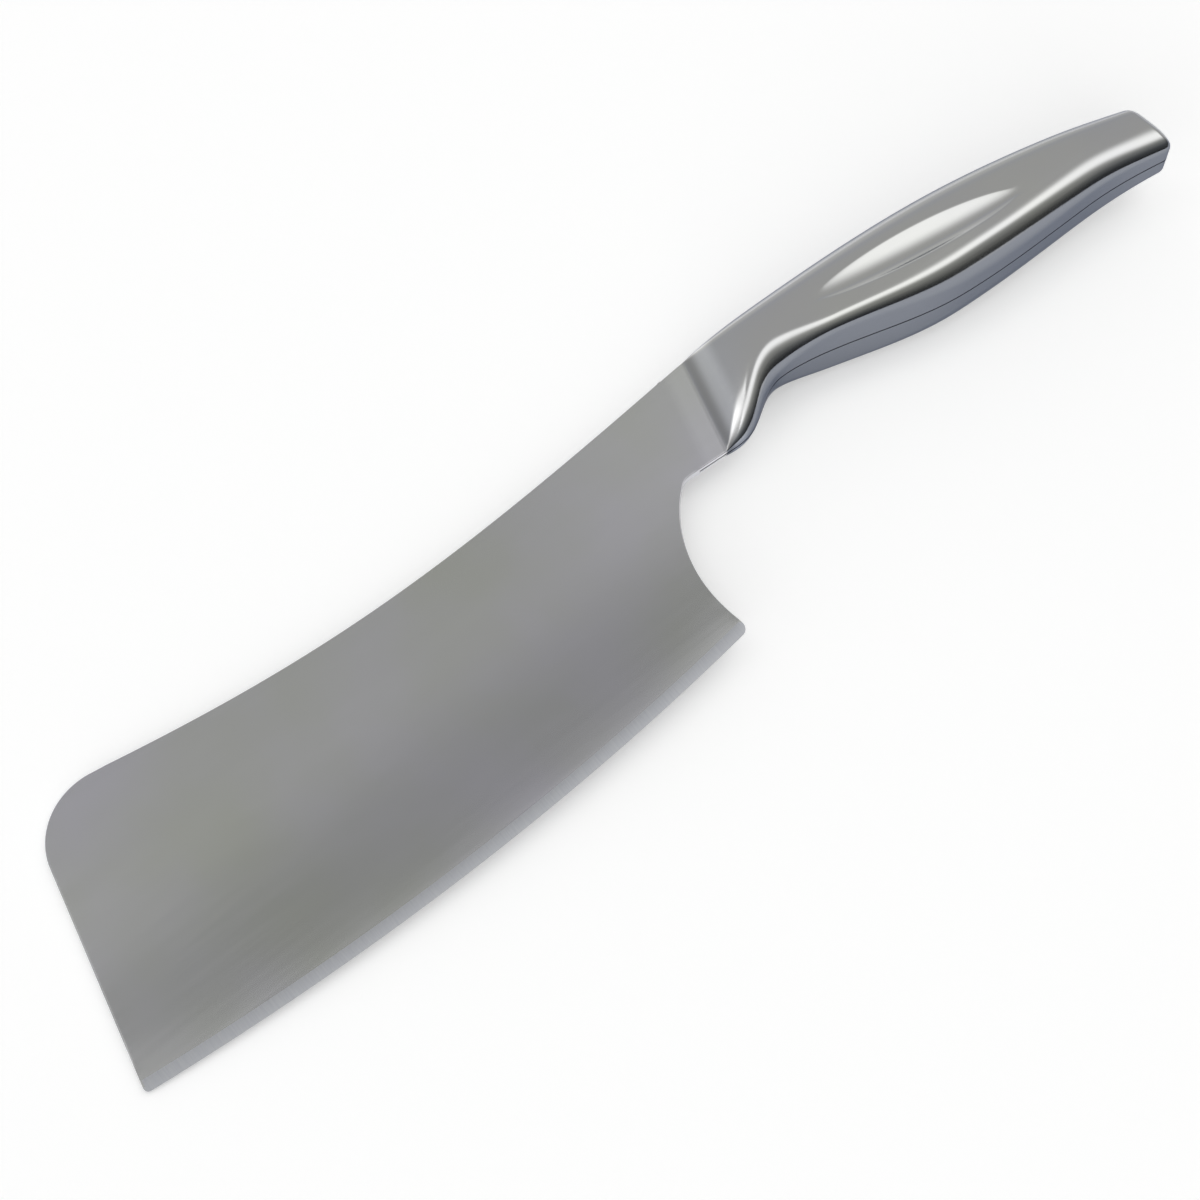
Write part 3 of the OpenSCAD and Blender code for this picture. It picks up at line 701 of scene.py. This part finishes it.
def stretched_noise(tree, scale, stretch, detail, turn=0.0):
    """Noise in the knife's own place, drawn out where stretch is small."""
    coords = tree.nodes.new("ShaderNodeTexCoord")
    mapping = tree.nodes.new("ShaderNodeMapping")
    mapping.inputs["Rotation"].default_value = (0, 0, math.radians(turn))
    mapping.inputs["Scale"].default_value = stretch
    noise = tree.nodes.new("ShaderNodeTexNoise")
    noise.inputs["Scale"].default_value = scale
    noise.inputs["Detail"].default_value = detail
    link(tree, coords.outputs["Object"], mapping.inputs["Vector"])
    link(tree, mapping.outputs["Vector"], noise.inputs["Vector"])
    return noise.outputs["Fac"]


def spread(tree, value, low, high):
    """Maps the middle of a noise's range to a range from low to high."""
    node = tree.nodes.new("ShaderNodeMapRange")
    node.inputs["To Min"].default_value = low
    node.inputs["To Max"].default_value = high
    node.inputs["From Min"].default_value = NOISE_FROM
    node.inputs["From Max"].default_value = NOISE_TO
    link(tree, value, node.inputs["Value"])
    return node.outputs["Result"]


def put(tree, socket, value):
    """Gives an input a number or a colour, or links it to another node's output."""
    if isinstance(value, (int, float, tuple)):
        socket.default_value = value
    else:
        link(tree, value, socket)


def math_node(tree, operation, first, second):
    """The result of an operation on two numbers or outputs."""
    node = tree.nodes.new("ShaderNodeMath")
    node.operation = operation
    put(tree, node.inputs[0], first)
    put(tree, node.inputs[1], second)
    return node.outputs["Value"]


def fade(tree, value, start, end, low, high):
    """Goes smoothly from low to high while the value goes from start to end."""
    node = tree.nodes.new("ShaderNodeMapRange")
    node.interpolation_type = "SMOOTHERSTEP"
    put(tree, node.inputs["Value"], value)
    for name, amount in zip(("From Min", "From Max", "To Min", "To Max"), (start, end, low, high)):
        put(tree, node.inputs[name], amount)
    return node.outputs["Result"]


def scaled(tree, colour, amount):
    """A colour times an amount."""
    node = tree.nodes.new("ShaderNodeVectorMath")
    node.operation = "SCALE"
    link(tree, colour, node.inputs[0])
    link(tree, amount, node.inputs["Scale"])
    return node.outputs["Vector"]


def two_tone(tree, tones, share):
    """A colour that goes from one tone to another as a share goes from 0 to 1."""
    colour = tree.nodes.new("ShaderNodeMix")
    colour.data_type = "RGBA"
    for name, value in zip(("A", "B", "Factor"), (*tones, share)):
        put(tree, colour.inputs[name], value)
    return colour.outputs["Result"]


def mottled(tree, tones, noise):
    """A colour between two tones, by a noise."""
    return two_tone(tree, tones, spread(tree, noise, 0, 1))


def bump(tree, shader, value, strength, distance):
    """Bends a shader's normal by a value."""
    node = tree.nodes.new("ShaderNodeBump")
    node.inputs["Strength"].default_value = strength
    node.inputs["Distance"].default_value = distance
    link(tree, value, node.inputs["Height"])
    link(tree, node.outputs["Normal"], shader.inputs["Normal"])


def crease_painted_shading(tree):
    """A soft line of painted shade in the crease between two bands of painted highlight, with painted
    shade further behind, as a share of the tone.
    """
    coords = tree.nodes.new("ShaderNodeTexCoord")
    across = tree.nodes.new("ShaderNodeVectorMath")
    across.operation = "DOT_PRODUCT"
    square = (*heading(-CREASE_LEAN), 0)
    across.inputs[1].default_value = square
    link(tree, coords.outputs["Object"], across.inputs[0])
    behind = math_node(tree, "SUBTRACT", across.outputs["Value"], float(CREASE_PLACE @ square))
    tone = 1.0
    for step in CREASE_PAINTED_SHADING_STEPS:
        tone = math_node(tree, "MULTIPLY", fade(tree, behind, *step), tone)
    return tone


def blade_material():
    """Satin with fine lines along the blade, with painted shade darker towards the edge over the long
    grind, painted light towards the neck, and the crease's painted shade and highlights.
    """
    material, tree, shader = new_material("blade_satin")
    colour = mottled(tree, BLADE_TONES, stretched_noise(tree, *BLADE_MOTTLE))
    coords = tree.nodes.new("ShaderNodeTexCoord")
    parts = tree.nodes.new("ShaderNodeSeparateXYZ")
    link(tree, coords.outputs["Object"], parts.inputs["Vector"])
    # Painted light towards the neck and painted shade towards the edge, in the satin's tone, with the
    # crease's painted shade and highlights
    along = fade(tree, parts.outputs["X"], *NECK_PAINTED_LIGHT)
    across = fade(tree, parts.outputs["Y"], *EDGE_PAINTED_SHADE)
    tone = math_node(tree, "MULTIPLY", math_node(tree, "MULTIPLY", along, across), crease_painted_shading(tree))
    link(tree, scaled(tree, colour, tone), shader.inputs["Base Color"])
    lines = stretched_noise(tree, *SATIN_LINES)
    link(tree, spread(tree, lines, *BLADE_ROUGH), shader.inputs["Roughness"])
    return material


def handle_material():
    """Polish with a darker band of painted shade along the seams, and the crease's painted shade and
    highlights.
    """
    material, tree, shader = new_material("handle_polish")
    colour = mottled(tree, HANDLE_TONES, stretched_noise(tree, *HANDLE_MOTTLE))
    # A darker band of painted shade along the seams
    band = tree.nodes.new("ShaderNodeAttribute")
    band.attribute_name = "seam_wall_painted_shade"
    colour = two_tone(tree, (colour, WALL_PAINTED_SHADE), band.outputs["Fac"])
    # The crease's painted shade and highlights scale the polish's colour
    link(tree, scaled(tree, colour, crease_painted_shading(tree)), shader.inputs["Base Color"])
    lines = stretched_noise(tree, *POLISH_LINES)
    link(tree, spread(tree, lines, *HANDLE_ROUGH), shader.inputs["Roughness"])
    shader.inputs["Specular Tint"].default_value = GRAZING_TINT
    return material


def weld_material():
    """The bead along the seam, ground down and darker."""
    material, tree, shader = new_material("weld_ground")
    grain = stretched_noise(tree, *WELD_GRAIN)
    link(tree, mottled(tree, WELD_TONES, grain), shader.inputs["Base Color"])
    shader.inputs["Roughness"].default_value = WELD_ROUGH
    bump(tree, shader, grain, *WELD_BUMP)
    return material


def bevel_material():
    """The bevel along the edge, ground across."""
    material, tree, shader = new_material("bevel_ground")
    colour = mottled(tree, BEVEL_TONES, stretched_noise(tree, *BEVEL_LINES))
    link(tree, colour, shader.inputs["Base Color"])
    shader.inputs["Roughness"].default_value = BEVEL_ROUGH
    return material


steel = blade_material()
polish = handle_material()
weld = weld_material()
bevel = bevel_material()
for piece, materials in ((blade, (steel, bevel)), (left, (polish, steel)), (right, (polish, steel))):
    for material in materials:
        piece.data.materials.append(material)
# The shells' flat neck has the blade's satin, and the bevel has its own grind
for piece in (left, right):
    for face, own in zip(piece.data.polygons, shell_faces):
        middle = shell_points[list(own), :2].mean(axis=0)
        face.material_index = int(middle[0] < crease_x(middle[1]))
for face, own in zip(blade.data.polygons, blade_faces):
    middle = blade_points[list(own), :2].mean(axis=0)
    face.material_index = int(EDGE_R - np.linalg.norm(middle - EDGE_CENTRE) < BEVEL_W)
for name, material in (("handle_seam_weld", weld), ("neck_weld", steel)):
    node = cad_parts[name]
    for slot in node.material_slots:
        slot.material = material


# Floor, light and camera

# The floor: its colour, how much it glows, and half its size in metres
FLOOR_COLOUR = (0.78, 0.78, 0.78, 1)
FLOOR_GLOW = 0.43
FLOOR_HALF = 50.0
# Within this many metres of the knife the floor glows less, a painted contact shadow added to its real
# one
NEAR_FLOOR, NEAR_SHADE = 0.014, (0.2, 0.95, 0.6 * FLOOR_GLOW, FLOOR_GLOW)
COOL, PLAIN, WARM = (0.97, 0.99, 1.04), (1.00, 1.00, 0.99), (1.00, 1.01, 0.97)
# The studio by the angle round the knife, from the side of the spine over the zenith to the
# side of the edge: degrees, brightness and tint
STUDIO_STOPS = [
    (-90, 1.00, PLAIN),
    (90, 0.03, PLAIN),
    (-72, 0.60, PLAIN),
    (-45, 0.46, COOL),
    (-28, 0.46, PLAIN),
    (10, 0.45, PLAIN),
    (24, 0.40, WARM),
    (40, 0.26, WARM),
    (55, 0.16, WARM),
    (75, 0.08, WARM),
]
# Towards -x the walls are darker: from and to this x, with their share of light there
DIM_END = (-0.75, -0.30, 0.60, 1.0)
# The long soft strip light: where it starts to rise and is at its full, at the two ends of the
# slant; where it falls off again; its bends, as from x, to x and by degrees; and its ends in x
STRIP_LIGHT = 0.93
STRIP_SLANT, STRIP_RISE, STRIP_FALL = (0.25, 0.45), ((-7, -22), (4, 4)), (8, 31)
STRIP_BENDS = [(-0.45, -0.12, 13), (-0.12, -0.06, 22)]
STRIP_START, STRIP_STOP = (-0.62, -0.40), (0.75, 0.92)
# The broad lights: over the toe's corner of the studio, and at its -x end
CORNER_LIGHT, CORNER_RISE, CORNER_STOP = 1.7, (14, 36), (-0.42, -0.14)
END_LIGHT, END_STOP = 1.5, (-0.92, -0.80)
# Where the white below the horizon ends, in z
HORIZON = (-0.001, 0.0)


def flag_rays(tree):
    """1 for camera, glossy and transmission rays."""
    path = tree.nodes.new("ShaderNodeLightPath")
    total = path.outputs["Is Camera Ray"]
    for name in ("Is Glossy Ray", "Is Transmission Ray"):
        add = tree.nodes.new("ShaderNodeMath")
        add.operation = "ADD"
        add.use_clamp = True
        link(tree, total, add.inputs[0])
        link(tree, path.outputs[name], add.inputs[1])
        total = add.outputs["Value"]
    return total


def add_floor():
    """A white surface that glows for the camera and for mirrored rays, less so close to the knife, where
    the dimmer glow is a painted contact shadow.
    """
    corners = [(x * FLOOR_HALF, y * FLOOR_HALF, 0) for x, y in ((-1, -1), (1, -1), (1, 1), (-1, 1))]
    mesh = bpy.data.meshes.new("floor")
    mesh.from_pydata(corners, [], [(0, 1, 2, 3)])
    floor = bpy.data.objects.new("floor", mesh)
    bpy.context.scene.collection.objects.link(floor)
    material = bpy.data.materials.new("floor_white")
    material.use_nodes = True
    tree = material.node_tree
    tree.nodes.clear()
    diffuse = tree.nodes.new("ShaderNodeBsdfDiffuse")
    diffuse.inputs["Color"].default_value = FLOOR_COLOUR
    glow = tree.nodes.new("ShaderNodeEmission")
    glow.inputs["Color"].default_value = (1, 1, 1, 1)
    strength = tree.nodes.new("ShaderNodeMath")
    strength.operation = "MULTIPLY"
    # Painted contact shadow: the glow falls off by ambient occlusion near the knife
    near = tree.nodes.new("ShaderNodeAmbientOcclusion")
    near.inputs["Distance"].default_value = NEAR_FLOOR
    link(tree, fade(tree, near.outputs["AO"], *NEAR_SHADE), strength.inputs[1])
    link(tree, flag_rays(tree), strength.inputs[0])
    link(tree, strength.outputs["Value"], glow.inputs["Strength"])
    both = tree.nodes.new("ShaderNodeAddShader")
    out = tree.nodes.new("ShaderNodeOutputMaterial")
    link(tree, diffuse.outputs["BSDF"], both.inputs[0])
    link(tree, glow.outputs["Emission"], both.inputs[1])
    link(tree, both.outputs["Shader"], out.inputs["Surface"])
    mesh.materials.append(material)


def studio_colour(tree):
    """The studio as the steel mirrors it: walls by their angle round the knife, and one long strip."""
    coords = tree.nodes.new("ShaderNodeTexCoord")
    parts = tree.nodes.new("ShaderNodeSeparateXYZ")
    link(tree, coords.outputs["Generated"], parts.inputs["Vector"])
    x, y, z = parts.outputs
    angle = math_node(tree, "ARCTAN2", math_node(tree, "MULTIPLY", y, -1.0), z)
    ramp = tree.nodes.new("ShaderNodeValToRGB")
    ramp.color_ramp.interpolation = "EASE"
    # The ramp has two stops of its own, which become the first two of the list
    stops = ramp.color_ramp.elements
    for i, (degrees, level, tint) in enumerate(STUDIO_STOPS):
        at = 0.5 + degrees / 180
        stop = stops[i] if i < 2 else stops.new(at)
        stop.position = at
        stop.color = (*(level * c for c in tint), 1)
    half_turns = math_node(tree, "MULTIPLY", angle, 1 / math.pi)
    link(tree, math_node(tree, "ADD", half_turns, 0.5), ramp.inputs["Fac"])
    walls = scaled(tree, ramp.outputs["Color"], fade(tree, x, *DIM_END))
    # The strip is bent at its -x end, and its side towards the spine slants, so that it stays
    # clear of what the blade mirrors
    angle_in_strip = angle
    for start, end, by in STRIP_BENDS:
        bend = fade(tree, x, start, end, math.radians(by), 0.0)
        angle_in_strip = math_node(tree, "ADD", angle_in_strip, bend)
    rise = [fade(tree, x, *STRIP_SLANT, math.radians(a), math.radians(b)) for a, b in STRIP_RISE]
    strip = fade(tree, angle_in_strip, *rise, 0.0, STRIP_LIGHT)
    for fall in (
        fade(tree, angle_in_strip, *(math.radians(a) for a in STRIP_FALL), 1.0, 0.0),
        fade(tree, x, *STRIP_START, 0.0, 1.0),
        fade(tree, x, *STRIP_STOP, 1.0, 0.0),
    ):
        strip = math_node(tree, "MULTIPLY", strip, fall)
    # Two broad soft lights that no side of the knife in view mirrors
    corner = fade(tree, angle, *(math.radians(a) for a in CORNER_RISE), 0.0, CORNER_LIGHT)
    corner = math_node(tree, "MULTIPLY", corner, fade(tree, x, *CORNER_STOP, 1.0, 0.0))
    end = fade(tree, x, *END_STOP, END_LIGHT, 0.0)
    # Below the horizon, where the floor ends, the studio is as white as the floor
    beyond_floor = fade(tree, z, *HORIZON, 1.0, 0.0)
    broad = math_node(tree, "ADD", math_node(tree, "ADD", corner, end), beyond_floor)
    added = math_node(tree, "ADD", strip, broad)
    total = tree.nodes.new("ShaderNodeVectorMath")
    total.operation = "ADD"
    link(tree, walls, total.inputs[0])
    link(tree, added, total.inputs[1])
    return total.outputs["Vector"]


def add_world():
    """The studio all round, which is the only light on the knife."""
    world = bpy.data.worlds.new("studio")
    bpy.context.scene.world = world
    world.use_nodes = True
    tree = world.node_tree
    tree.nodes.clear()
    studio = tree.nodes.new("ShaderNodeBackground")
    link(tree, studio_colour(tree), studio.inputs["Color"])
    out = tree.nodes.new("ShaderNodeOutputWorld")
    link(tree, studio.outputs["Background"], out.inputs["Surface"])


add_world()
add_floor()

# Camera: film and lens in millimetres, its place in metres, and which way its right and its up are
FILM, LENS, NEAREST = 36.0, 67.18, 0.01
CAMERA_AT = (-0.174289, -0.159485, 0.396826)
CAMERA_RIGHT = Vector((0.763221, -0.644933, 0.039448))
CAMERA_UP = Vector((0.548945, 0.679409, 0.486891))
camera_data = bpy.data.cameras.new("camera")
camera_data.sensor_width = FILM
camera_data.lens = LENS
camera_data.clip_start = NEAREST
camera = bpy.data.objects.new("camera", camera_data)
bpy.context.scene.collection.objects.link(camera)
axes = (CAMERA_RIGHT, CAMERA_UP, CAMERA_RIGHT.cross(CAMERA_UP))
camera.matrix_world = Matrix.Translation(CAMERA_AT) @ Matrix(axes).transposed().to_4x4()
bpy.context.scene.camera = camera
bpy.context.scene.view_settings.view_transform = "Standard"
